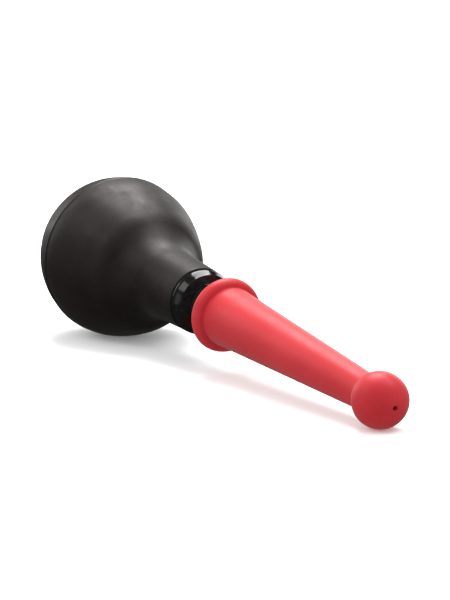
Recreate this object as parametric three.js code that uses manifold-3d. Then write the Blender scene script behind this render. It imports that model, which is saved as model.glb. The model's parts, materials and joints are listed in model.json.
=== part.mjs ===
// Rubber squeeze bulb with a screw-on, ball-tipped air nozzle: a hollow moulded bulb, a gloss collar with
// a ball check valve pressed into its neck, a tapered nozzle on a round thread, and an air intake valve
// in the back of the bulb. Millimetres, +Z up, lying on its side on z = 0: the bulb rests on the small
// flat that its weight presses into the rubber, and the nozzle on its ball tip.
//
// Every piece turns about one axis. Stations along that axis are counted from the bulb's centre towards
// the tip, and a profile is a list of [radius, station] points, listed anticlockwise round the section.
import * as THREE from "three";
import { mergeVertices } from "three/addons/utils/BufferGeometryUtils.js";
import Module from "manifold-3d";

const wasm = await Module();
wasm.setup();

// ---------------------------------------------------------------- driving dimensions
const GAP = 0.3; // clearance kept between pieces that touch

const BULB_RADIUS = 41;
const BULB_WALL = 2.6;
const REST_SINK = 0.6; // how far the rubber flattens where it rests
const NECK_RADIUS = 16.2; // at its lip
const LIP_STATION = 89.6; // end of the rubber neck

const COLLAR_RADIUS = 16.1;
const COLLAR_FRONT_RADIUS = 14.7;
const COLLAR_FRONT = 97.3; // plane of the collar's front face
const LIP_GROOVE_DEPTH = 1.6; // dark groove between the rubber lip and the collar
const LIP_GROOVE_WIDTH = 0.9;
const PLUG_RADIUS = 12.7;
const PLUG_REAR = 66;
const RIDGE_HEIGHT = 0.6;
const RIDGE_LENGTH = 4.5;
const RIDGE_COUNT = 4;
const SPIGOT_RADIUS = 10;
const SHOULDER = 113.2; // where the nozzle's washer seats
const SPIGOT_END = 132;

const THREAD_LEAD = 4;
const THREAD_TURNS = 3;
const THREAD_START = 117;
const THREAD_END = THREAD_START + THREAD_LEAD * THREAD_TURNS;
const THREAD_ROOT_RADIUS = 7.5; // on the spigot
const THREAD_HEIGHT = 1;
const THREAD_CLEARANCE = 0.4;
const THREAD_ROW = 0.67; // length of one row of faces along the thread

const TIP_STATION = 256.8; // centre of the ball tip
const TIP_RADIUS = 12.5;
const BEAD_STATION = 116.6; // middle of the rolled flange at the nozzle's base
const BEAD_RADIUS = 3;
const BEAD_FRONT = 4; // the bead is a little longer on the side of the tip
const BEAD_OUTER_RADIUS = 18;
const SHAFT_BASE_RADIUS = 14.5;
const SHAFT_TIP_RADIUS = 7.6; // radius the taper would have at the tip's centre
const NOZZLE_WALL = 2.4;
const AIR_HOLE_RADIUS = 1.1;

const BALL_RADIUS = 4;
const VALVE_BORE_RADIUS = 2.8;
const VALVE_CHAMBER_RADIUS = 5.2;
const SEAT_STATION = 86; // where the air hole opens into the conical seat
const SEAT_SLOPE = 0.75; // radius gained per unit of station
const RETAINER_REAR = 104;
const RETAINER_LENGTH = 2.6;

const INTAKE_HOLE_RADIUS = 6.8;
const INTAKE_SPOT_FACE = 10; // radius of the flat that the valve's flange sits on
const INTAKE_BOSS_FRONT = -33.6; // inner end of the thick rubber round the hole
const INTAKE_BOSS_RADIUS = 11;
const INTAKE_FLANGE_RADIUS = 9.6;
const INTAKE_BARREL_RADIUS = 6.5;
const INTAKE_OUTER_FACE = -42.2;

const BULB_SEGMENTS = 36;
const NOZZLE_SEGMENTS = 28;
const SMALL_SEGMENTS = 24;

// ---------------------------------------------------------------- shape helpers
// Points of an arc about [radius, station], from one angle to another, in degrees from the radial direction.
function arc(centre, size, from, to, steps) {
  return Array.from({ length: steps + 1 }, (_, i) => {
    const angle = THREE.MathUtils.degToRad(from + ((to - from) * i) / steps);
    return [centre[0] + size * Math.cos(angle), centre[1] + size * Math.sin(angle)];
  });
}

const degrees = (radius, station) => THREE.MathUtils.radToDeg(Math.atan2(station, radius));

// A closed section turned about the Y axis. A face, not an edge, looks along +X.
function turned(profile, segments) {
  const points = [...profile, profile[0]].map(([radius, station]) => new THREE.Vector2(radius, station));
  return new THREE.LatheGeometry(points, segments, Math.PI / segments);
}

// Rows of points along the cylinder that a thread stands on.
function threadRows(radius, from, to) {
  const steps = Math.round(Math.abs(to - from) / THREAD_ROW);
  return Array.from({ length: steps + 1 }, (_, i) => [radius, from + ((to - from) * i) / steps]);
}

// Raises a right-handed round thread from the rows of a cylinder: outward for a screw, inward for a socket.
// It fades into the cylinder at both ends.
function raiseThread(geometry, radius, outward) {
  const position = geometry.getAttribute("position");
  for (let i = 0; i < position.count; i++) {
    const [x, station, z] = [position.getX(i), position.getY(i), position.getZ(i)];
    const inside = Math.min(station - THREAD_START, THREAD_END - station);
    if (inside < -1e-3 || Math.abs(Math.hypot(x, z) - radius) > 1e-3) continue;
    const turn = station / THREAD_LEAD - Math.atan2(x, z) / (2 * Math.PI);
    const fade = THREE.MathUtils.smoothstep(inside, 0, 2 * THREAD_ROW);
    const rise = (fade * THREAD_HEIGHT * (outward + Math.sin(2 * Math.PI * turn))) / 2;
    position.setX(i, x * (1 + rise / radius));
    position.setZ(i, z * (1 + rise / radius));
  }
  return geometry;
}

function solidFrom(geometry) {
  const bare = geometry.clone();
  bare.deleteAttribute("normal");
  bare.deleteAttribute("uv");
  const merged = mergeVertices(bare, 1e-4);
  return new wasm.Manifold(
    new wasm.Mesh({
      numProp: 3,
      vertProperties: new Float32Array(merged.getAttribute("position").array),
      triVerts: new Uint32Array(merged.index.array),
    }),
  );
}

function geometryFrom(solid) {
  const mesh = solid.getMesh();
  const geometry = new THREE.BufferGeometry();
  geometry.setAttribute("position", new THREE.BufferAttribute(mesh.vertProperties, 3));
  geometry.setIndex(new THREE.BufferAttribute(mesh.triVerts, 1));
  geometry.computeVertexNormals();
  return geometry;
}

// Cuts round holes, parallel to the axis, out of a disc.
function drilled(geometry, holeRadius, circleRadius, count, middle, length) {
  let solid = solidFrom(geometry);
  for (let i = 0; i < count; i++) {
    const angle = (2 * Math.PI * i) / count;
    const hole = new THREE.CylinderGeometry(holeRadius, holeRadius, length, 12);
    hole.translate(circleRadius * Math.cos(angle), middle, circleRadius * Math.sin(angle));
    solid = solid.subtract(solidFrom(hole));
  }
  return geometryFrom(solid);
}

// ---------------------------------------------------------------- how it lies
const restHeight = BULB_RADIUS - REST_SINK;
const droop = Math.asin((restHeight - TIP_RADIUS) / TIP_STATION); // the axis runs down towards the tip

// ---------------------------------------------------------------- squeeze bulb
// The bulb's skin is a chain of arcs that run into each other, from its back to its neck. Each has a radius of
// curvature, negative where it is hollow, the direction it faces where it ends, in degrees from the radial
// direction, and its number of steps on the outer and the inner face.
const SKIN_ARCS = [
  { size: BULB_RADIUS, end: 15.5, steps: [13, 8] }, // ball
  { size: 114, end: 27, steps: [2, 1] }, // front, fuller than the ball
  { size: 23, end: 46, steps: [4, 2] }, // shoulder
  { size: -30, end: 2.5, steps: [5, 3] }, // hollow curve into the neck
];

// Section of the skin at a distance inside its outer face. side is 0 for the outer face and 1 for the inner.
function bulbSkin(inset, rearRadius, side) {
  const rear = [rearRadius, -Math.sqrt((BULB_RADIUS - inset) ** 2 - rearRadius ** 2)];
  let centre = [0, 0];
  let [start, last] = [degrees(...rear), BULB_RADIUS];
  const points = SKIN_ARCS.flatMap(({ size, end, steps }) => {
    const turn = THREE.MathUtils.degToRad(start);
    centre = [centre[0] + (last - size) * Math.cos(turn), centre[1] + (last - size) * Math.sin(turn)];
    const stretch = arc(centre, size - inset, start, end, steps[side]).slice(1);
    [start, last] = [end, size];
    return stretch;
  });
  return [rear, ...points];
}

function squeezeBulb() {
  const spotFace = -Math.sqrt(BULB_RADIUS ** 2 - INTAKE_SPOT_FACE ** 2);
  const profile = [
    [INTAKE_HOLE_RADIUS, INTAKE_BOSS_FRONT],
    [INTAKE_HOLE_RADIUS, spotFace],
    ...bulbSkin(0, INTAKE_SPOT_FACE, 0),
    [NECK_RADIUS, LIP_STATION],
    [NECK_RADIUS - BULB_WALL, LIP_STATION],
    [NECK_RADIUS - BULB_WALL, PLUG_REAR],
    ...bulbSkin(BULB_WALL, INTAKE_BOSS_RADIUS, 1).reverse(),
    [INTAKE_BOSS_RADIUS - 1.5, INTAKE_BOSS_FRONT],
  ];
  const underside = new THREE.BoxGeometry(REST_SINK * 2, BULB_RADIUS, BULB_RADIUS);
  const tilted = new THREE.Group();
  tilted.rotation.z = droop;
  const slab = new THREE.Mesh(underside);
  slab.position.x = restHeight + REST_SINK;
  tilted.add(slab);
  tilted.updateMatrixWorld(true);
  underside.applyMatrix4(slab.matrixWorld);
  return geometryFrom(solidFrom(turned(profile, BULB_SEGMENTS)).subtract(solidFrom(underside)));
}

// ---------------------------------------------------------------- collar with its spigot
function threadedCollar() {
  const lipFace = LIP_STATION + GAP;
  const ridges = Array.from({ length: RIDGE_COUNT }, (_, i) => {
    const start = PLUG_REAR + 1 + i * RIDGE_LENGTH;
    return [
      [PLUG_RADIUS, start],
      [PLUG_RADIUS + RIDGE_HEIGHT, start + RIDGE_LENGTH - 1.2],
      [PLUG_RADIUS, start + RIDGE_LENGTH - 0.6],
    ];
  }).flat();
  const seatTop = SEAT_STATION + (VALVE_CHAMBER_RADIUS - VALVE_BORE_RADIUS) / SEAT_SLOPE;
  const profile = [
    [PLUG_RADIUS - 0.8, PLUG_REAR],
    ...ridges,
    [PLUG_RADIUS, lipFace],
    [COLLAR_RADIUS - LIP_GROOVE_DEPTH, lipFace],
    [COLLAR_RADIUS - LIP_GROOVE_DEPTH, lipFace + LIP_GROOVE_WIDTH],
    [COLLAR_RADIUS, lipFace + LIP_GROOVE_WIDTH],
    [COLLAR_RADIUS, lipFace + 2.4],
    ...arc([COLLAR_RADIUS - 4.9, lipFace + 2.4], 4.9, 0, 44, 4).slice(1),
    [COLLAR_FRONT_RADIUS, COLLAR_FRONT - 0.5],
    [COLLAR_FRONT_RADIUS - 0.5, COLLAR_FRONT],
    [SPIGOT_RADIUS, COLLAR_FRONT],
    [SPIGOT_RADIUS, SHOULDER],
    [THREAD_ROOT_RADIUS, SHOULDER],
    ...threadRows(THREAD_ROOT_RADIUS, THREAD_START, THREAD_END),
    [THREAD_ROOT_RADIUS, SPIGOT_END - 0.8],
    [THREAD_ROOT_RADIUS - 0.8, SPIGOT_END],
    [VALVE_CHAMBER_RADIUS, SPIGOT_END],
    [VALVE_CHAMBER_RADIUS, seatTop],
    [VALVE_BORE_RADIUS, SEAT_STATION],
    [VALVE_BORE_RADIUS, SEAT_STATION - 2.5],
    [PLUG_RADIUS - 3, SEAT_STATION - 6],
    [PLUG_RADIUS - 2.2, PLUG_REAR],
  ];
  return raiseThread(turned(profile, SMALL_SEGMENTS), THREAD_ROOT_RADIUS, 1);
}

// ---------------------------------------------------------------- outlet check valve
const seatApex = SEAT_STATION - VALVE_BORE_RADIUS / SEAT_SLOPE;
const seatSine = SEAT_SLOPE / Math.hypot(1, SEAT_SLOPE);
const ballStation = seatApex + (BALL_RADIUS + 0.12) / seatSine;

function outletBall() {
  return new THREE.SphereGeometry(BALL_RADIUS, 16, 10).translate(0, ballStation, 0);
}

function outletSpring() {
  const wire = 0.35;
  const coilRadius = 3.2;
  const from = ballStation + Math.sqrt(BALL_RADIUS ** 2 - coilRadius ** 2) + 3 * wire;
  const to = RETAINER_REAR - wire - GAP;
  const turns = 5;
  class Helix extends THREE.Curve {
    getPoint(t, target = new THREE.Vector3()) {
      const angle = 2 * Math.PI * turns * t;
      const station = THREE.MathUtils.lerp(from, to, t);
      return target.set(coilRadius * Math.sin(angle), station, coilRadius * Math.cos(angle));
    }
  }
  const section = new THREE.Shape(
    Array.from({ length: 6 }, (_, i) => {
      const angle = (Math.PI * i) / 3;
      return new THREE.Vector2(wire * Math.cos(angle), wire * Math.sin(angle));
    }),
  );
  return new THREE.ExtrudeGeometry(section, { steps: 14 * turns, extrudePath: new Helix(), bevelEnabled: false });
}

function outletRetainer() {
  const front = RETAINER_REAR + RETAINER_LENGTH;
  const edge = VALVE_CHAMBER_RADIUS - GAP;
  const disc = turned([[0.8, RETAINER_REAR], [edge, RETAINER_REAR], [edge, front], [0.8, front]], SMALL_SEGMENTS);
  return drilled(disc, 1, 3, 5, RETAINER_REAR + RETAINER_LENGTH / 2, 2 * RETAINER_LENGTH);
}

// ---------------------------------------------------------------- nozzle and its washer
const nozzleBack = BEAD_STATION - BEAD_RADIUS;
const washerRear = SHOULDER + GAP;
const washerLength = 1.2;

function nozzleWasher() {
  const inner = THREAD_ROOT_RADIUS + THREAD_HEIGHT + GAP;
  const front = washerRear + washerLength;
  return turned([[inner, washerRear], [12.4, washerRear], [12.4, front], [inner, front]], SMALL_SEGMENTS);
}

function nozzle() {
  const beadCentre = [BEAD_OUTER_RADIUS - BEAD_RADIUS, BEAD_STATION];
  const taper = (SHAFT_BASE_RADIUS - SHAFT_TIP_RADIUS) / (TIP_STATION - BEAD_STATION);
  const shaft = (station) => SHAFT_BASE_RADIUS - taper * (station - BEAD_STATION);
  const neck = TIP_STATION - Math.sqrt(TIP_RADIUS ** 2 - SHAFT_TIP_RADIUS ** 2); // where the taper meets the ball
  const shaftStations = [0.25, 0.5, 0.75, 1].map((t) => THREE.MathUtils.lerp(BEAD_STATION, neck, t));
  const socketRadius = THREAD_ROOT_RADIUS + THREAD_HEIGHT + THREAD_CLEARANCE;
  const recessFloor = washerRear + washerLength + GAP;
  const coreRadius = TIP_RADIUS - NOZZLE_WALL;
  const socketEnd = SPIGOT_END + 3;
  const throat = shaft(neck) - NOZZLE_WALL;
  const beadFront = arc([0, 0], 1, 0, 80, 5).map(([out, along]) => [
    beadCentre[0] + BEAD_RADIUS * out,
    BEAD_STATION + BEAD_FRONT * along,
  ]);
  const profile = [
    [12.7, nozzleBack],
    ...arc(beadCentre, BEAD_RADIUS, -90, 0, 5).slice(0, -1),
    ...beadFront,
    [shaft(BEAD_STATION + BEAD_FRONT), BEAD_STATION + BEAD_FRONT],
    ...shaftStations.slice(0, -1).map((station) => [shaft(station), station]),
    ...arc([0, TIP_STATION], TIP_RADIUS, -degrees(shaft(neck), TIP_STATION - neck), 85, 9),
    [AIR_HOLE_RADIUS, TIP_STATION + TIP_RADIUS - 0.1],
    [AIR_HOLE_RADIUS, TIP_STATION + coreRadius - 0.3],
    ...arc([0, TIP_STATION], coreRadius, 78, -degrees(throat, Math.sqrt(coreRadius ** 2 - throat ** 2)), 6),
    [shaft(socketEnd) - NOZZLE_WALL - 3.6, socketEnd],
    [socketRadius, SPIGOT_END + 1],
    ...threadRows(socketRadius, THREAD_END, THREAD_START),
    [socketRadius, recessFloor],
    [12.7, recessFloor],
  ];
  return raiseThread(turned(profile, NOZZLE_SEGMENTS), socketRadius, -1);
}

// ---------------------------------------------------------------- intake valve
const intakeSpotFace = -Math.sqrt(BULB_RADIUS ** 2 - INTAKE_SPOT_FACE ** 2);
const filterRecess = 5.6;
const filterFloor = INTAKE_OUTER_FACE + 1.9;
const discSeat = -38;
const chamberRadius = 5;
const barrelFront = -30.6;

function intakeValveBody() {
  const collarFront = intakeSpotFace - GAP;
  const barbRear = INTAKE_BOSS_FRONT + GAP;
  return turned(
    [
      [filterRecess, INTAKE_OUTER_FACE],
      [INTAKE_FLANGE_RADIUS - 0.8, INTAKE_OUTER_FACE],
      [INTAKE_FLANGE_RADIUS, INTAKE_OUTER_FACE + 0.8],
      [INTAKE_FLANGE_RADIUS, collarFront],
      [INTAKE_BARREL_RADIUS, collarFront],
      [INTAKE_BARREL_RADIUS, barbRear],
      [INTAKE_BARREL_RADIUS + 1.1, barbRear],
      [INTAKE_BARREL_RADIUS, barrelFront],
      [chamberRadius, barrelFront],
      [chamberRadius, discSeat - 0.5],
      [3, discSeat - 0.5],
      [2.7, discSeat],
      [2.4, discSeat],
      [2.4, filterFloor],
      [filterRecess, filterFloor],
    ],
    SMALL_SEGMENTS,
  );
}

function intakeDisc() {
  const rear = discSeat + 0.15;
  return new THREE.CylinderGeometry(4.3, 4.3, 0.8, SMALL_SEGMENTS).translate(0, rear + 0.4, 0);
}

function intakeCage() {
  const rear = -34.6;
  const front = barrelFront - 0.6;
  const edge = chamberRadius - GAP;
  const disc = turned([[0.8, rear], [edge, rear], [edge, front], [0.8, front]], SMALL_SEGMENTS);
  return drilled(disc, 1.1, 2.9, 5, (rear + front) / 2, 10);
}

function filterPad() {
  const edge = filterRecess - GAP;
  const rear = filterFloor - GAP - 0.5;
  return new THREE.CylinderGeometry(edge, edge, 0.5, SMALL_SEGMENTS).translate(0, rear + 0.25, 0);
}

function filterRing() {
  const edge = filterRecess - GAP;
  const front = filterFloor - 2 * GAP - 0.5;
  const rear = INTAKE_OUTER_FACE + 0.1;
  return turned([[4, rear], [edge, rear], [edge, front], [4, front]], SMALL_SEGMENTS);
}

// ---------------------------------------------------------------- materials
const material = (color, roughness, metalness = 0) => new THREE.MeshStandardMaterial({ color, roughness, metalness });
const blackRubber = material(0x2b2725, 0.55);
const glossBlack = material(0x0b0b0c, 0.12);
const redNozzle = material(0xd6232f, 0.4);
const whiteNylon = material(0xe6e3dc, 0.4);
const springSteel = material(0xb9bcc0, 0.25, 1);
const greySilicone = material(0x8a8c8e, 0.5);
const filterFoam = material(0x8f9194, 0.9);

// ---------------------------------------------------------------- assembly
const axis = new THREE.Group(); // local +Y runs along the axis to the tip, and local +X points down
axis.name = "turning_axis";
axis.position.z = restHeight;
axis.quaternion.setFromRotationMatrix(
  new THREE.Matrix4().makeBasis(
    new THREE.Vector3(-Math.sin(droop), 0, -Math.cos(droop)),
    new THREE.Vector3(Math.cos(droop), 0, -Math.sin(droop)),
    new THREE.Vector3(0, -1, 0),
  ),
);

function add(name, geometry, finish) {
  const mesh = new THREE.Mesh(geometry, finish);
  mesh.name = name;
  axis.add(mesh);
}

add("squeeze_bulb", squeezeBulb(), blackRubber);
add("threaded_collar", threadedCollar(), glossBlack);
add("outlet_valve_ball", outletBall(), whiteNylon);
add("outlet_valve_spring", outletSpring(), springSteel);
add("outlet_valve_retainer", outletRetainer(), glossBlack);
add("nozzle_washer", nozzleWasher(), greySilicone);
add("nozzle", nozzle(), redNozzle);
add("intake_valve_body", intakeValveBody(), glossBlack);
add("intake_valve_disc", intakeDisc(), greySilicone);
add("intake_valve_cage", intakeCage(), whiteNylon);
add("intake_filter_pad", filterPad(), filterFoam);
add("intake_filter_ring", filterRing(), glossBlack);

const blower = new THREE.Group();
blower.add(axis);
const bounds = new THREE.Box3().setFromObject(blower, true);
axis.position.x -= (bounds.min.x + bounds.max.x) / 2; // the origin is under the middle of its length

export default blower;
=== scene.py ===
"""Looks for the dust blower bulb: smooth skins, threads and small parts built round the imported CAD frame."""
import json
import math

import bpy
import numpy as np
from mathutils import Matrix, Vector, noise


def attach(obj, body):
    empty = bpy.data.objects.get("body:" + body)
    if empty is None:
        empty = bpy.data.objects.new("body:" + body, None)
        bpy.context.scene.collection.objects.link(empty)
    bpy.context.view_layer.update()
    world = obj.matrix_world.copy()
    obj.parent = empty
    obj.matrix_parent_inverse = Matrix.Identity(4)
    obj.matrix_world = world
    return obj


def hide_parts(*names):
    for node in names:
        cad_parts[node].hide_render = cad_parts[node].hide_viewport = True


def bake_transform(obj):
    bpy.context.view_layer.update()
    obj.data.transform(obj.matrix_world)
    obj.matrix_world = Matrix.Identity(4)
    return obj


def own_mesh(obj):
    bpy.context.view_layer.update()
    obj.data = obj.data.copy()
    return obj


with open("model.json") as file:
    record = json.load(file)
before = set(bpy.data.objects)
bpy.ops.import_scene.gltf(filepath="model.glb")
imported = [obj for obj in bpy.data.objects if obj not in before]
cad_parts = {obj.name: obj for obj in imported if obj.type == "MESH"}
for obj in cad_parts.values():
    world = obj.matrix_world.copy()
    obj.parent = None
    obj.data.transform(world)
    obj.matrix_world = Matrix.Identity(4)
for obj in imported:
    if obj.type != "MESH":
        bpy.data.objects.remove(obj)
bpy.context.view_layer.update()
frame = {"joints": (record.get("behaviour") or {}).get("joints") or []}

MM = 0.001
ROOT = "bulb_and_collar"
INTAKE = "intake_valve"

# ------------------------------------------------------------------ the turning axis, from the frame
joints = {joint["name"]: joint for joint in frame["joints"]}
AXIS = Vector(joints["nozzle_turn"]["axis"]).normalized()  # towards the ball tip
CENTRE = Vector(joints["nozzle_turn"]["pos_m"])  # the bulb's centre
SIDE = Vector((0, -1, 0))
DOWN = SIDE.cross(AXIS)

# ------------------------------------------------------------------ sizes in millimetres
# Stations are counted along the axis from the bulb's centre. A profile is [radius, station] points,
# anticlockwise round the section.
GAP = 0.3

BULB_RADIUS = 41
BULB_WALL = 2.6
NECK_RADIUS = 16.2
# The skin's arcs from back to neck: radius of curvature, and direction at the arc's end.
SKIN_ARCS = [(BULB_RADIUS, 15.5), (114, 27), (23, 46), (-30, 2.5)]
LIP_STATION = 89.6
PARTING_STATION = -2.2
PARTING_RIDGE = 0.45
PARTING_WIDTH = 0.75
UNEVENNESS = 0.22  # height of the rubber's waves
WIDE_WAVE = 26
NARROW_WAVE = 9
NARROW_SHARE = 0.35

COLLAR_RADIUS = 16.1
COLLAR_FRONT_RADIUS = 14.7
COLLAR_FRONT = 97.3
LIP_GROOVE_DEPTH = 1.6
LIP_GROOVE_WIDTH = 0.9
PLUG_RADIUS = 12.7
PLUG_REAR = 66
PLUG_BARBS = 4
BARB_PITCH = 4.5
BARB_HEIGHT = 0.6
SPIGOT_RADIUS = 10
SHOULDER = 113.2
SPIGOT_END = 132

WASHER_REAR = SHOULDER + GAP
WASHER_LENGTH = 1.2
WASHER_RADIUS = 12.4
RECESS_RADIUS = 12.7  # of the hollow that the washer sits in

THREAD_LEAD = 4
THREAD_START = 117
THREAD_END = THREAD_START + 3 * THREAD_LEAD
THREAD_ROOT_RADIUS = 7.5
THREAD_HEIGHT = 1
THREAD_CLEARANCE = 0.4

TIP_STATION = 256.8
TIP_RADIUS = 12.5
BEAD_STATION = 116.6
BEAD_RADIUS = 3
BEAD_FRONT = 4
BEAD_OUTER_RADIUS = 18
SHAFT_BASE_RADIUS = 14.5
SHAFT_TIP_RADIUS = 7.6
NOZZLE_WALL = 2.4
AIR_HOLE_RADIUS = 1.1
AIR_HOLE_EDGE = 0.35

BALL_RADIUS = 4
VALVE_BORE_RADIUS = 2.8
VALVE_CHAMBER_RADIUS = 5.2
SEAT_STATION = 86
SEAT_SLOPE = 0.75
RETAINER_REAR = 104
RETAINER_LENGTH = 2.6
SPRING_RADIUS = 3.2
SPRING_WIRE = 0.35
SPRING_TURNS = 5
PLATE_HOLES = 5

INTAKE_HOLE_RADIUS = 6.8
INTAKE_SPOT_FACE = 10
INTAKE_BOSS_FRONT = -33.6
INTAKE_BOSS_RADIUS = 11
INTAKE_FLANGE_RADIUS = 9.6
INTAKE_BARREL_RADIUS = 6.5
INTAKE_OUTER_FACE = -42.2
FILTER_RECESS_RADIUS = 5.6
FILTER_FLOOR = INTAKE_OUTER_FACE + 1.9
DISC_SEAT = -38
CHAMBER_RADIUS = 5
BARREL_FRONT = -30.6
CAGE_REAR = -34.6
SEAT_RING_RADIUS = 3
INTAKE_BORE_RADIUS = 2.4
DISC_RADIUS = 4.3
DISC_THICKNESS = 0.8
PAD_THICKNESS = 0.5
PORE_DEPTH = 0.12

ROUND = 160  # segments round a large piece
SMALL_ROUND = 96
SHARP_ANGLE = 40  # edges sharper than this stay sharp


# ------------------------------------------------------------------ outlines
def arc(centre, size, start, end, steps):
    """Points of an arc about [radius, station], in degrees from the radial direction."""
    angles = np.radians(np.linspace(start, end, steps + 1))
    return [[centre[0] + size * math.cos(a), centre[1] + size * math.sin(a)] for a in angles]


def slope(radius, station):
    return math.degrees(math.atan2(station, radius))


def softened(corners, rounding, steps=5):
    """A closed outline with its corners rounded. A corner may give its own rounding as a third number."""
    outline = []
    for i, corner in enumerate(corners):
        here = np.array(corner[:2], float)
        before = np.array(corners[i - 1][:2], float) - here
        after = np.array(corners[(i + 1) % len(corners)][:2], float) - here
        size = corner[2] if len(corner) > 2 else rounding
        reach = min(size, 0.45 * np.linalg.norm(before), 0.45 * np.linalg.norm(after))
        if reach <= 0:
            outline.append(here.tolist())
            continue
        start = here + before / np.linalg.norm(before) * reach
        end = here + after / np.linalg.norm(after) * reach
        for t in np.linspace(0, 1, steps):
            outline.append(((1 - t) ** 2 * start + 2 * t * (1 - t) * here + t * t * end).tolist())
    return outline


def rows(radius, start, end, pitch):
    """Stations along a cylinder, close enough to carry a thread."""
    count = round(abs(end - start) / pitch)
    return [[radius, s, 0] for s in np.linspace(start, end, count + 1)]


# ------------------------------------------------------------------ meshes
def smooth(mesh):
    mesh.polygons.foreach_set("use_smooth", [True] * len(mesh.polygons))
    mesh.set_sharp_from_angle(angle=math.radians(SHARP_ANGLE))


def link(name, mesh):
    piece = bpy.data.objects.new(name, mesh)
    bpy.context.scene.collection.objects.link(piece)
    smooth(mesh)
    return piece


def place(local):
    """Local (down, side, station) millimetres to the row frame's metres."""
    basis = np.array([DOWN, SIDE, AXIS])
    return np.array(CENTRE) + MM * np.asarray(local) @ basis


def turned(name, profile, segments, shape=None):
    """A closed section turned about the axis. shape may move the points, given as (down, side, station)."""
    section = np.array(profile, float)[:, :2]
    angles = 2 * np.pi * np.arange(segments) / segments
    radius, station = section[:, 0][:, None], section[:, 1][:, None]
    down, side = radius * np.cos(angles), radius * np.sin(angles)
    points = np.stack([down, side, station + 0 * down], axis=-1)
    if shape:
        points = shape(points)
    count = len(section)
    faces = []
    for i in range(count):
        for j in range(segments):
            k, m = (j + 1) % segments, (i + 1) % count
            faces.append((i * segments + j, i * segments + k, m * segments + k, m * segments + j))
    mesh = bpy.data.meshes.new(name)
    mesh.from_pydata(place(points.reshape(-1, 3)).tolist(), [], faces)
    mesh.validate()
    return link(name, mesh)


def threaded(outward, root):
    """Raises the round right-handed thread from the rows of a cylinder."""
    def shape(points):
        down, side, station = points[..., 0], points[..., 1], points[..., 2]
        radius = np.hypot(down, side)
        inside = np.minimum(station - THREAD_START, THREAD_END - station)
        on = (inside > -1e-6) & (np.abs(radius - root) < 1e-6)
        fade = np.clip(inside / 1.3, 0, 1)
        fade = fade * fade * (3 - 2 * fade)
        turn = station / THREAD_LEAD - np.arctan2(side, down) / (2 * np.pi)
        rise = fade * THREAD_HEIGHT * (outward + np.sin(2 * np.pi * turn)) / 2
        scale = np.where(on, 1 + rise / radius, 1)
        return np.stack([down * scale, side * scale, station], axis=-1)
    return shape


def bored(piece, radius, circle, count, start, end):
    """Drills a ring of holes, parallel to the axis, through a disc."""
    drill_points, drill_faces = [], []
    sides = 28
    for i in range(count):
        about = 2 * math.pi * i / count
        first = len(drill_points)
        for station in (start, end):
            for j in range(sides):
                turn = 2 * math.pi * j / sides
                drill_points.append((
                    circle * math.cos(about) + radius * math.cos(turn),
                    circle * math.sin(about) + radius * math.sin(turn),
                    station,
                ))
        ring = range(first, first + sides)
        drill_faces.append(tuple(reversed(ring)))
        drill_faces.append(tuple(j + sides for j in ring))
        for j in range(sides):
            k = (j + 1) % sides
            drill_faces.append((first + j, first + k, first + sides + k, first + sides + j))
    mesh = bpy.data.meshes.new("drill")
    mesh.from_pydata(place(drill_points).tolist(), [], drill_faces)
    drill = link("drill", mesh)
    cut = piece.modifiers.new("holes", "BOOLEAN")
    cut.operation = "DIFFERENCE"
    cut.solver = "EXACT"
    cut.object = drill
    graph = bpy.context.evaluated_depsgraph_get()
    finished = bpy.data.meshes.new_from_object(piece.evaluated_get(graph))
    piece.modifiers.clear()
    piece.data = finished
    smooth(finished)
    bpy.data.objects.remove(drill)
    return piece


def coil(name, coil_radius, wire, start, end, turns):
    """A helical spring of round wire, with its ends capped."""
    steps, sides = 40 * turns, 12
    points, faces = [], []
    for i in range(steps + 1):
        t = i / steps
        angle = 2 * math.pi * turns * t
        outward = Vector((math.cos(angle), math.sin(angle), 0))
        along = Vector((-math.sin(angle), math.cos(angle), 0)) * coil_radius * 2 * math.pi * turns
        along += Vector((0, 0, end - start))
        up = along.cross(outward).normalized()
        middle = outward * coil_radius + Vector((0, 0, start + (end - start) * t))
        for j in range(sides):
            a = 2 * math.pi * j / sides
            points.append(middle + wire * (math.cos(a) * outward + math.sin(a) * up))
    for i in range(steps):
        for j in range(sides):
            k = (j + 1) % sides
            a, b = i * sides, (i + 1) * sides
            faces.append((a + j, b + j, b + k, a + k))
    faces.append(tuple(range(sides)))
    faces.append(tuple(reversed(range(steps * sides, (steps + 1) * sides))))
    mesh = bpy.data.meshes.new(name)
    mesh.from_pydata(place(points).tolist(), [], faces)
    return link(name, mesh)


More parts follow.
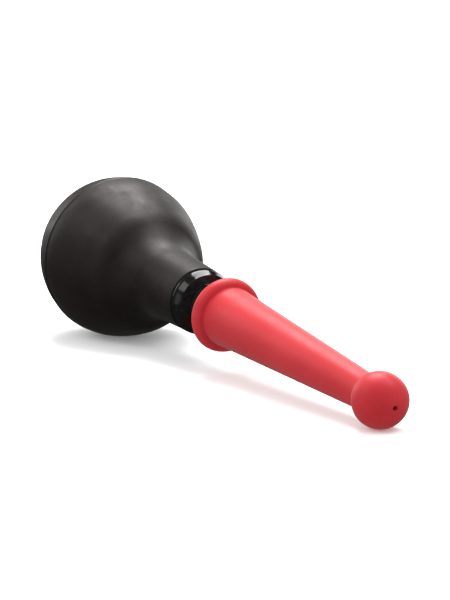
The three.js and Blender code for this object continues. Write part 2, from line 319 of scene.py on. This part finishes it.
# ------------------------------------------------------------------ materials
class Paint:
    """A Principled material whose colour, roughness and bump come from noise in the object's own space."""

    def __init__(self, name, **sockets):
        self.material = bpy.data.materials.new(name)
        self.material.use_nodes = True
        self.nodes = self.material.node_tree.nodes
        self.links = self.material.node_tree.links
        self.shader = self.nodes["Principled BSDF"]
        self.space = self.nodes.new("ShaderNodeTexCoord").outputs["Object"]
        self.normal = None
        for socket, value in sockets.items():
            self.shader.inputs[socket.replace("_", " ")].default_value = value

    def noise(self, size_mm, detail=4, stretch=None):
        """Noise whose blotches are about size_mm across. stretch draws them out along the row's X."""
        texture = self.nodes.new("ShaderNodeTexNoise")
        texture.inputs["Scale"].default_value = 1 / (size_mm * MM)
        texture.inputs["Detail"].default_value = detail
        texture.inputs["Roughness"].default_value = 0.55
        source = self.space
        if stretch:
            mapping = self.nodes.new("ShaderNodeMapping")
            mapping.inputs["Scale"].default_value = (1 / stretch, 1, 1)
            self.links.new(source, mapping.inputs["Vector"])
            source = mapping.outputs["Vector"]
        self.links.new(source, texture.inputs["Vector"])
        return texture.outputs["Fac"]

    def cells(self, size_mm):
        """Rounded cells about size_mm across."""
        texture = self.nodes.new("ShaderNodeTexVoronoi")
        texture.inputs["Scale"].default_value = 1 / (size_mm * MM)
        self.links.new(self.space, texture.inputs["Vector"])
        return texture.outputs["Distance"]

    def spread(self, value, low, high, start=0.3, end=0.7):
        """Maps a 0 to 1 pattern on to a range."""
        node = self.nodes.new("ShaderNodeMapRange")
        node.inputs["From Min"].default_value = start
        node.inputs["From Max"].default_value = end
        node.inputs["To Min"].default_value = low
        node.inputs["To Max"].default_value = high
        self.links.new(value, node.inputs["Value"])
        return node.outputs["Result"]

    def blend(self, share, first, second):
        """Mixes two colours, each a colour or another mix, by a pattern."""
        node = self.nodes.new("ShaderNodeMix")
        node.data_type = "RGBA"
        self.links.new(share, node.inputs["Factor"])
        for name, value in (("A", first), ("B", second)):
            socket = [s for s in node.inputs if s.name == name and s.type == "RGBA"][0]
            if isinstance(value, tuple):
                socket.default_value = (*value, 1)
            else:
                self.links.new(value, socket)
        return [s for s in node.outputs if s.type == "RGBA"][0]

    def colour(self, value):
        self.links.new(value, self.shader.inputs["Base Color"])

    def roughness(self, value):
        self.links.new(value, self.shader.inputs["Roughness"])

    def bump(self, height, depth_mm):
        """Adds a bump of that depth on top of those before it."""
        node = self.nodes.new("ShaderNodeBump")
        node.inputs["Strength"].default_value = 1
        node.inputs["Distance"].default_value = depth_mm * MM
        self.links.new(height, node.inputs["Height"])
        if self.normal:
            self.links.new(self.normal, node.inputs["Normal"])
        self.normal = node.outputs["Normal"]
        self.links.new(self.normal, self.shader.inputs["Normal"])


def black_rubber():
    """Black moulded rubber: warm, satin, with faint blooms and a fine skin."""
    paint = Paint(
        "black_rubber",
        Specular_IOR_Level=0.34,
        Specular_Tint=(1, 0.95, 0.92, 1),
        Sheen_Weight=0.03,
        Sheen_Roughness=0.35,
    )
    bloom = paint.spread(paint.noise(16, detail=5), 0, 1)
    speck = paint.spread(paint.noise(0.9, detail=3), 0, 0.5, 0.5, 0.8)
    body = paint.blend(bloom, (0.0076, 0.0057, 0.005), (0.0122, 0.0093, 0.0084))
    paint.colour(paint.blend(speck, body, (0.02, 0.0175, 0.016)))
    paint.roughness(paint.spread(paint.noise(9, detail=6), 0.44, 0.6))
    paint.bump(paint.noise(0.35, detail=3), 0.012)
    paint.bump(paint.noise(5, detail=2), 0.05)
    return paint.material


def gloss_black():
    """Polished black moulding with hairline scratches and a trace of dust."""
    paint = Paint("gloss_black", Specular_IOR_Level=0.3)
    haze = paint.spread(paint.noise(2.5, detail=6), 0, 1, 0.45, 0.75)
    paint.colour(paint.blend(haze, (0.008, 0.0078, 0.008), (0.017, 0.0165, 0.016)))
    paint.roughness(paint.spread(paint.noise(4, detail=7), 0.07, 0.17))
    paint.bump(paint.noise(0.25, detail=2, stretch=9), 0.0015)
    paint.bump(paint.noise(6, detail=1), 0.01)
    return paint.material


def red_nozzle():
    """Satin red vinyl, slightly translucent, with a fine moulded texture."""
    paint = Paint(
        "red_nozzle",
        Specular_IOR_Level=0.22,
        Sheen_Weight=0.12,
        Sheen_Roughness=0.4,
        Subsurface_Weight=0.12,
        Subsurface_Radius=(1.0, 0.25, 0.2),
        Subsurface_Scale=2.5 * MM,
    )
    flow = paint.spread(paint.noise(14, detail=3, stretch=3), 0, 1)
    fleck = paint.spread(paint.noise(0.8, detail=3), 0, 0.35, 0.5, 0.8)
    body = paint.blend(flow, (0.5, 0.02, 0.028), (0.56, 0.03, 0.038))
    paint.colour(paint.blend(fleck, body, (0.42, 0.01, 0.018)))
    paint.roughness(paint.spread(paint.noise(7, detail=5), 0.38, 0.5))
    paint.bump(paint.noise(0.3, detail=3), 0.006)
    paint.bump(paint.noise(8, detail=1), 0.04)
    return paint.material


def white_nylon():
    """Off-white nylon with a moulded satin skin."""
    paint = Paint("white_nylon")
    tone = paint.spread(paint.noise(3), 0, 1)
    paint.colour(paint.blend(tone, (0.74, 0.72, 0.66), (0.82, 0.8, 0.75)))
    paint.roughness(paint.spread(paint.noise(1.5), 0.35, 0.5))
    paint.bump(paint.noise(0.2), 0.004)
    return paint.material


def spring_steel():
    """Drawn steel wire."""
    paint = Paint("spring_steel", Metallic=1)
    drawn = paint.spread(paint.noise(0.4, stretch=4), 0, 1)
    paint.colour(paint.blend(drawn, (0.45, 0.46, 0.48), (0.66, 0.67, 0.69)))
    paint.roughness(paint.spread(paint.noise(0.6), 0.2, 0.38))
    paint.bump(paint.noise(0.15, stretch=4), 0.003)
    return paint.material


def grey_silicone():
    """Soft grey silicone, matt and slightly mottled."""
    paint = Paint("grey_silicone")
    tone = paint.spread(paint.noise(2.5), 0, 1)
    paint.colour(paint.blend(tone, (0.22, 0.225, 0.23), (0.3, 0.305, 0.31)))
    paint.roughness(paint.spread(paint.noise(1.2), 0.45, 0.65))
    paint.bump(paint.noise(0.25), 0.006)
    return paint.material


def filter_foam():
    """Open-cell grey foam with some dust in it; the bottom of each pore is darkened as painted shade."""
    paint = Paint("filter_foam")
    # painted shade: the foam colour goes dark towards the middle of each cell, where the bump sinks into a pit
    pore_shade = paint.spread(paint.cells(0.55), 0, 1, 0.1, 0.6)
    body = paint.blend(pore_shade, (0.035, 0.036, 0.038), (0.2, 0.205, 0.21))
    dust = paint.spread(paint.noise(1.8), 0, 0.5, 0.5, 0.8)
    paint.colour(paint.blend(dust, body, (0.3, 0.28, 0.25)))
    paint.roughness(paint.spread(paint.noise(0.5), 0.85, 1))
    paint.bump(paint.cells(0.55), 0.25)
    return paint.material


MATERIALS = {
    make.__name__: make()
    for make in (black_rubber, gloss_black, red_nozzle, white_nylon, spring_steel, grey_silicone, filter_foam)
}


def finish_piece(piece, slot, node):
    """Gives a new piece its finish and hides the CAD node that it stands for."""
    piece.data.materials.clear()
    piece.data.materials.append(MATERIALS[slot])
    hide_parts(node)
    return piece


# ------------------------------------------------------------------ squeeze bulb
def bulb_skin(inset, rear_radius, per_degree):
    """Section of ball, fuller front, shoulder and hollow curve at a distance inside the outer skin."""
    rear = [rear_radius, -math.sqrt((BULB_RADIUS - inset) ** 2 - rear_radius**2)]
    points = [rear]
    centre, start, last = np.zeros(2), slope(*rear), BULB_RADIUS
    for size, end in SKIN_ARCS:
        turn = math.radians(start)
        centre = centre + (last - size) * np.array([math.cos(turn), math.sin(turn)])
        points += arc(centre, size - inset, start, end, math.ceil(abs(end - start) * per_degree))[1:]
        start, last = end, size
    return points


def worn_rubber(points, skin_rows):
    """The mould's parting ridge and a little unevenness, on the outer skin's rows only."""
    down, side, station = points[..., 0], points[..., 1], points[..., 2]
    radius = np.hypot(down, side)
    skin = (np.arange(len(points)) < skin_rows)[:, None]
    seam = PARTING_RIDGE * np.exp(-(((station - PARTING_STATION) / PARTING_WIDTH) ** 2))
    offset = Vector((7, 3, 1))
    wave = np.array([
        noise.noise(Vector(p) / WIDE_WAVE) + NARROW_SHARE * noise.noise(Vector(p) / NARROW_WAVE + offset)
        for p in points.reshape(-1, 3)
    ]).reshape(radius.shape)
    calm = np.clip((LIP_STATION - station) / 20, 0, 1) * np.clip((radius - INTAKE_SPOT_FACE) / 4, 0, 1)
    scale = 1 + np.where(skin, seam + UNEVENNESS * wave * calm, 0) / np.maximum(radius, 1e-3)
    return np.stack([down * scale, side * scale, station], axis=-1)


def rest_flat(piece):
    """Presses the rubber flat on the floor, with a soft edge."""
    soft = 0.35 * MM
    for vertex in piece.data.vertices:
        z = vertex.co.z
        if z < 4 * soft:
            vertex.co.z = soft * math.log1p(math.exp(z / soft)) if z > -8 * soft else 0
    return piece


def parting_rows(section):
    """Adds closely spaced rows where the parting ridge is."""
    near = [PARTING_STATION + PARTING_WIDTH * step for step in np.linspace(-2.4, 2.4, 33)]
    close = [[math.sqrt(BULB_RADIUS**2 - s * s), s] for s in near]
    return [p for p in section if p[1] < near[0]] + close + [p for p in section if p[1] > near[-1]]


def squeeze_bulb():
    spot_face = -math.sqrt(BULB_RADIUS**2 - INTAKE_SPOT_FACE**2)
    outer = parting_rows(bulb_skin(0, INTAKE_SPOT_FACE + 0.6, 1.4))
    lip = softened(
        [
            [NECK_RADIUS, LIP_STATION - 3, 0],
            [NECK_RADIUS, LIP_STATION, 0.7],
            [NECK_RADIUS - BULB_WALL, LIP_STATION, 0.4],
            [NECK_RADIUS - BULB_WALL, LIP_STATION - 3, 0],
            [NECK_RADIUS - BULB_WALL, PLUG_REAR, 0],
        ],
        0,
    )
    inner = bulb_skin(BULB_WALL, INTAKE_BOSS_RADIUS, 0.5)[::-1]
    mouth = [
        [INTAKE_BOSS_RADIUS - 1.5, INTAKE_BOSS_FRONT],
        [INTAKE_HOLE_RADIUS, INTAKE_BOSS_FRONT],
        [INTAKE_HOLE_RADIUS, spot_face],
        [INTAKE_SPOT_FACE - 0.3, spot_face],
        [INTAKE_SPOT_FACE, spot_face - 0.05],
    ]
    section = [*outer, *lip, *inner, *mouth]
    piece = turned("squeeze_bulb_skin", section, ROUND, lambda points: worn_rubber(points, len(outer)))
    rest_flat(piece)
    finish_piece(piece, "black_rubber", "squeeze_bulb")
    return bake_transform(piece)


# ------------------------------------------------------------------ collar and outlet valve
def threaded_collar():
    lip = LIP_STATION + GAP
    seat_top = SEAT_STATION + (VALVE_CHAMBER_RADIUS - VALVE_BORE_RADIUS) / SEAT_SLOPE
    ridges = []
    for i in range(PLUG_BARBS):
        start = PLUG_REAR + 1 + BARB_PITCH * i
        ridges += [
            [PLUG_RADIUS, start],
            [PLUG_RADIUS + BARB_HEIGHT, start + 3.3],
            [PLUG_RADIUS, start + 3.9],
        ]
    profile = softened(
        [
            [PLUG_RADIUS - 0.8, PLUG_REAR],
            *ridges,
            [PLUG_RADIUS, lip, 0],
            [COLLAR_RADIUS - LIP_GROOVE_DEPTH, lip, 0.2],
            [COLLAR_RADIUS - LIP_GROOVE_DEPTH, lip + LIP_GROOVE_WIDTH, 0.1],
            [COLLAR_RADIUS, lip + LIP_GROOVE_WIDTH, 0.35],
            [COLLAR_RADIUS, lip + 3, 1.5],
            [COLLAR_FRONT_RADIUS + 0.2, COLLAR_FRONT - 1.2, 1.5],
            [COLLAR_FRONT_RADIUS - 0.1, COLLAR_FRONT, 0.35],
            [SPIGOT_RADIUS, COLLAR_FRONT, 0.8],
            [SPIGOT_RADIUS, SHOULDER, 0.3],
            [THREAD_ROOT_RADIUS, SHOULDER, 0.3],
            *rows(THREAD_ROOT_RADIUS, THREAD_START, THREAD_END, 0.2),
            [THREAD_ROOT_RADIUS, SPIGOT_END - 0.8, 0.3],
            [THREAD_ROOT_RADIUS - 0.8, SPIGOT_END, 0.3],
            [VALVE_CHAMBER_RADIUS, SPIGOT_END, 0.3],
            [VALVE_CHAMBER_RADIUS, seat_top, 0.1],
            [VALVE_BORE_RADIUS, SEAT_STATION, 0.1],
            [VALVE_BORE_RADIUS, SEAT_STATION - 2.5, 0.3],
            [PLUG_RADIUS - 3, SEAT_STATION - 6, 0.5],
            [PLUG_RADIUS - 2.2, PLUG_REAR, 0.3],
        ],
        0.25,
    )
    piece = turned("collar_moulding", profile, ROUND, threaded(1, THREAD_ROOT_RADIUS))
    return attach(finish_piece(piece, "gloss_black", "threaded_collar"), ROOT)


def seated_ball_station():
    """Centre of the ball when it rests on its conical seat."""
    apex = SEAT_STATION - VALVE_BORE_RADIUS / SEAT_SLOPE
    return apex + (BALL_RADIUS + 0.12) * math.hypot(1, SEAT_SLOPE) / SEAT_SLOPE


def outlet_ball():
    station = seated_ball_station()
    profile = arc([0.02, station], BALL_RADIUS, -89.5, 89.5, 40)
    piece = turned("check_ball", profile, 64)
    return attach(finish_piece(piece, "white_nylon", "outlet_valve_ball"), "outlet_ball")


def outlet_spring():
    start = seated_ball_station() + math.sqrt(BALL_RADIUS**2 - SPRING_RADIUS**2) + 3 * SPRING_WIRE
    end = RETAINER_REAR - SPRING_WIRE - GAP
    piece = coil("outlet_spring_wire", SPRING_RADIUS, SPRING_WIRE, start, end, SPRING_TURNS)
    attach(finish_piece(piece, "spring_steel", "outlet_valve_spring"), ROOT)
    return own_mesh(piece)


def drilled_disc(name, edge, rear, front, hole_radius, circle):
    """A plate with a small middle hole and a ring of larger ones."""
    profile = softened([[0.8, rear], [edge, rear], [edge, front], [0.8, front]], 0.2)
    return bored(turned(name, profile, SMALL_ROUND), hole_radius, circle, PLATE_HOLES, rear - 2, front + 2)


def outlet_retainer():
    edge = VALVE_CHAMBER_RADIUS - GAP
    front = RETAINER_REAR + RETAINER_LENGTH
    piece = drilled_disc("outlet_plate", edge, RETAINER_REAR, front, hole_radius=1, circle=3)
    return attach(finish_piece(piece, "gloss_black", "outlet_valve_retainer"), ROOT)


# ------------------------------------------------------------------ nozzle and its washer
def nozzle_washer():
    inner = THREAD_ROOT_RADIUS + THREAD_HEIGHT + GAP
    front = WASHER_REAR + WASHER_LENGTH
    corners = [[inner, WASHER_REAR], [WASHER_RADIUS, WASHER_REAR], [WASHER_RADIUS, front], [inner, front]]
    profile = softened(corners, 0.25)
    piece = turned("nozzle_seal_ring", profile, SMALL_ROUND)
    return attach(finish_piece(piece, "grey_silicone", "nozzle_washer"), "nozzle_seal")


def nozzle():
    bead = [BEAD_OUTER_RADIUS - BEAD_RADIUS, BEAD_STATION]
    taper = (SHAFT_BASE_RADIUS - SHAFT_TIP_RADIUS) / (TIP_STATION - BEAD_STATION)

    def shaft(station):
        return SHAFT_BASE_RADIUS - taper * (station - BEAD_STATION)

    front = [[bead[0] + BEAD_RADIUS * r, bead[1] + BEAD_FRONT * s] for r, s in arc([0, 0], 1, 0, 76, 30)]
    back = BEAD_STATION - BEAD_RADIUS
    crease = BEAD_STATION + BEAD_FRONT
    neck = TIP_STATION - math.sqrt(TIP_RADIUS**2 - SHAFT_TIP_RADIUS**2)
    core = TIP_RADIUS - NOZZLE_WALL
    socket = THREAD_ROOT_RADIUS + THREAD_HEIGHT + THREAD_CLEARANCE
    throat = shaft(neck) - NOZZLE_WALL
    recess_floor = WASHER_REAR + WASHER_LENGTH + GAP
    socket_end = SPIGOT_END + 3
    hole_edge = AIR_HOLE_RADIUS + AIR_HOLE_EDGE
    tip_top = slope(hole_edge, math.sqrt(TIP_RADIUS**2 - hole_edge**2))
    profile = [
        *softened([[RECESS_RADIUS, back, 0.3], [14, back, 0]], 0.3),
        *arc(bead, BEAD_RADIUS, -90, 0, 24)[:-1],
        *front[:-1],
        *softened([[*front[-1], 0], [shaft(crease), crease, 1.4], [shaft(crease + 3), crease + 3, 0]], 0, 8),
        *[[shaft(s), s] for s in np.linspace(crease + 4, neck - 0.6, 60)],
        *arc([0, TIP_STATION], TIP_RADIUS, -slope(shaft(neck), TIP_STATION - neck) + 2, tip_top, 60),
        [AIR_HOLE_RADIUS + 0.08, TIP_STATION + TIP_RADIUS - 0.28],
        [AIR_HOLE_RADIUS, TIP_STATION + TIP_RADIUS - 0.6],
        [AIR_HOLE_RADIUS, TIP_STATION + core - 0.3],
        *arc([0, TIP_STATION], core, 78, -slope(throat, math.sqrt(core**2 - throat**2)), 16),
        [shaft(socket_end) - NOZZLE_WALL - 3.6, socket_end],
        [socket, SPIGOT_END + 1],
        *rows(socket, THREAD_END, THREAD_START, 0.2),
        [socket, recess_floor],
        [RECESS_RADIUS, recess_floor],
    ]
    profile = [point[:2] for point in profile]
    piece = turned("nozzle_moulding", profile, ROUND, threaded(-1, socket))
    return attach(finish_piece(piece, "red_nozzle", "nozzle"), "nozzle")


# ------------------------------------------------------------------ intake valve
def intake_body():
    seat = -math.sqrt(BULB_RADIUS**2 - INTAKE_SPOT_FACE**2) - GAP
    barb = INTAKE_BOSS_FRONT + GAP
    profile = softened(
        [
            [FILTER_RECESS_RADIUS, INTAKE_OUTER_FACE, 0.25],
            [INTAKE_FLANGE_RADIUS - 0.8, INTAKE_OUTER_FACE, 0.5],
            [INTAKE_FLANGE_RADIUS, INTAKE_OUTER_FACE + 0.8, 0.5],
            [INTAKE_FLANGE_RADIUS, seat, 0.2],
            [INTAKE_BARREL_RADIUS, seat],
            [INTAKE_BARREL_RADIUS, barb],
            [INTAKE_BARREL_RADIUS + 1.1, barb],
            [INTAKE_BARREL_RADIUS, BARREL_FRONT],
            [CHAMBER_RADIUS, BARREL_FRONT],
            [CHAMBER_RADIUS, DISC_SEAT - 0.5],
            [SEAT_RING_RADIUS, DISC_SEAT - 0.5],
            [SEAT_RING_RADIUS - 0.3, DISC_SEAT, 0.1],
            [INTAKE_BORE_RADIUS, DISC_SEAT, 0.1],
            [INTAKE_BORE_RADIUS, FILTER_FLOOR],
            [FILTER_RECESS_RADIUS, FILTER_FLOOR],
        ],
        0.2,
    )
    piece = turned("intake_plug", profile, SMALL_ROUND)
    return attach(finish_piece(piece, "gloss_black", "intake_valve_body"), INTAKE)


def intake_disc():
    rear = DISC_SEAT + 0.15
    front = rear + DISC_THICKNESS
    profile = softened([[0.02, rear, 0], [DISC_RADIUS, rear], [DISC_RADIUS, front], [0.02, front, 0]], 0.2)
    piece = turned("intake_flap", profile, SMALL_ROUND)
    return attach(finish_piece(piece, "grey_silicone", "intake_valve_disc"), "intake_disc")


def intake_cage():
    edge = CHAMBER_RADIUS - GAP
    piece = drilled_disc("intake_plate", edge, CAGE_REAR, BARREL_FRONT - 0.6, hole_radius=1.1, circle=2.9)
    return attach(finish_piece(piece, "white_nylon", "intake_valve_cage"), INTAKE)


def filter_pad():
    edge = FILTER_RECESS_RADIUS - GAP
    rear = FILTER_FLOOR - GAP - PAD_THICKNESS
    front = rear + PAD_THICKNESS
    face = [[r, rear, 0] for r in np.linspace(0.02, edge - 0.4, 24)]
    back = [[edge, rear, 0.2], [edge, front, 0.2], [0.02, front, 0]]

    def porous(points):
        lifted = points.copy()
        for index in np.ndindex(points.shape[:2]):
            if abs(points[index][2] - rear) < 1e-6:
                lifted[index][2] += PORE_DEPTH * noise.noise(Vector(points[index]) * 2.2)
        return lifted

    piece = turned("filter_foam_pad", softened([*face, *back], 0), SMALL_ROUND, porous)
    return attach(finish_piece(piece, "filter_foam", "intake_filter_pad"), INTAKE)


def filter_ring():
    edge = FILTER_RECESS_RADIUS - GAP
    front = FILTER_FLOOR - 2 * GAP - PAD_THICKNESS
    rear = INTAKE_OUTER_FACE + 0.1
    profile = softened([[4, rear, 0.3], [edge, rear, 0.2], [edge, front], [4, front]], 0.1)
    piece = turned("filter_snap_ring", profile, SMALL_ROUND)
    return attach(finish_piece(piece, "gloss_black", "intake_filter_ring"), INTAKE)


# ------------------------------------------------------------------ floor, lights and camera
FLOOR_HALF_WIDTH = 30
FLOOR_WHITE = (0.9, 0.9, 0.9, 1)
FLOOR_GLOW = 0.15
LIGHT_FROM_BELOW = 0.62  # as a share of the light from above
LIGHT_FADES_BY = -0.35
LIGHT_TARGET = Vector((0, 0, 0.05))
CAMERA_AZIMUTH = 62.1
CAMERA_ELEVATION = 9.5
CAMERA_DISTANCE = 1.136
CAMERA_TARGET = Vector((0.0013, 0.0006, 0.0345))
CAMERA_LENS = 144
CAMERA_SENSOR = 36

# Softboxes a metre from the part: degrees round from the camera, degrees up, width in metres, watts.
SOFTBOXES = {
    "key": (182, 60, 0.6, 12),
    "right": (85, 60, 0.42, 3),
    "left": (277, 40, 0.42, 1.7),
    "left_low": (285, 4, 0.5, 0.6),
    "right_rim": (156, 10, 0.5, 2),
    "left_rim": (222, 14, 0.4, 1.2),
}


def studio_floor():
    mesh = bpy.data.meshes.new("studio_floor")
    edge = FLOOR_HALF_WIDTH
    corners = [(-edge, -edge, 0), (edge, -edge, 0), (edge, edge, 0), (-edge, edge, 0)]
    mesh.from_pydata(corners, [], [(0, 1, 2, 3)])
    floor = link("studio_floor", mesh)
    material = bpy.data.materials.new("studio_white")
    material.use_nodes = True
    shader = material.node_tree.nodes["Principled BSDF"]
    shader.inputs["Base Color"].default_value = FLOOR_WHITE
    shader.inputs["Roughness"].default_value = 0.9
    shader.inputs["Specular IOR Level"].default_value = 0
    shader.inputs["Emission Color"].default_value = (1, 1, 1, 1)
    shader.inputs["Emission Strength"].default_value = FLOOR_GLOW
    mesh.materials.append(material)
    floor.visible_glossy = floor.visible_diffuse = floor.visible_shadow = False  # the world lights from below


def direction(azimuth, elevation):
    """From the part towards a place at that azimuth and elevation: azimuth 0 is on -Y, and 90 on +X."""
    a, e = math.radians(azimuth), math.radians(elevation)
    return Vector((math.sin(a) * math.cos(e), -math.cos(a) * math.cos(e), math.sin(e)))


def softbox(name, around, elevation, width, power):
    light = bpy.data.lights.new(name, "AREA")
    light.shape = "SQUARE"
    light.size = width
    light.energy = power
    lamp = bpy.data.objects.new(name, light)
    bpy.context.scene.collection.objects.link(lamp)
    towards = direction(CAMERA_AZIMUTH + around, elevation)
    lamp.location = LIGHT_TARGET + towards
    lamp.rotation_mode = "QUATERNION"
    lamp.rotation_quaternion = towards.to_track_quat("Z", "Y")
    lamp.visible_camera = False


def studio_camera():
    data = bpy.data.cameras.new("camera")
    data.lens = CAMERA_LENS
    data.sensor_width = CAMERA_SENSOR
    camera = bpy.data.objects.new("camera", data)
    bpy.context.scene.collection.objects.link(camera)
    back = direction(CAMERA_AZIMUTH, CAMERA_ELEVATION)
    camera.location = CAMERA_TARGET + CAMERA_DISTANCE * back
    camera.rotation_mode = "QUATERNION"
    camera.rotation_quaternion = (-back).to_track_quat("-Z", "Y")
    bpy.context.scene.camera = camera


def studio_lights():
    for name, (around, elevation, width, power) in SOFTBOXES.items():
        softbox(name, around, elevation, width, power)
    world = bpy.data.worlds.new("studio")
    bpy.context.scene.world = world
    world.use_nodes = True
    nodes, links = world.node_tree.nodes, world.node_tree.links
    split = nodes.new("ShaderNodeSeparateXYZ")
    links.new(nodes.new("ShaderNodeTexCoord").outputs["Generated"], split.inputs["Vector"])
    height = nodes.new("ShaderNodeMapRange")
    height.inputs["From Min"].default_value = LIGHT_FADES_BY
    height.inputs["From Max"].default_value = 0
    height.inputs["To Min"].default_value = LIGHT_FROM_BELOW
    height.inputs["To Max"].default_value = 1
    links.new(split.outputs["Z"], height.inputs["Value"])
    links.new(height.outputs["Result"], nodes["Background"].inputs["Strength"])
    nodes["Background"].inputs["Color"].default_value = (1, 1, 1, 1)
    world.cycles_visibility.glossy = False
    bpy.context.scene.view_settings.view_transform = "Standard"


squeeze_bulb()
threaded_collar()
outlet_ball()
outlet_spring()
outlet_retainer()
nozzle_washer()
nozzle()
intake_body()
intake_disc()
intake_cage()
filter_pad()
filter_ring()
studio_floor()
studio_camera()
studio_lights()
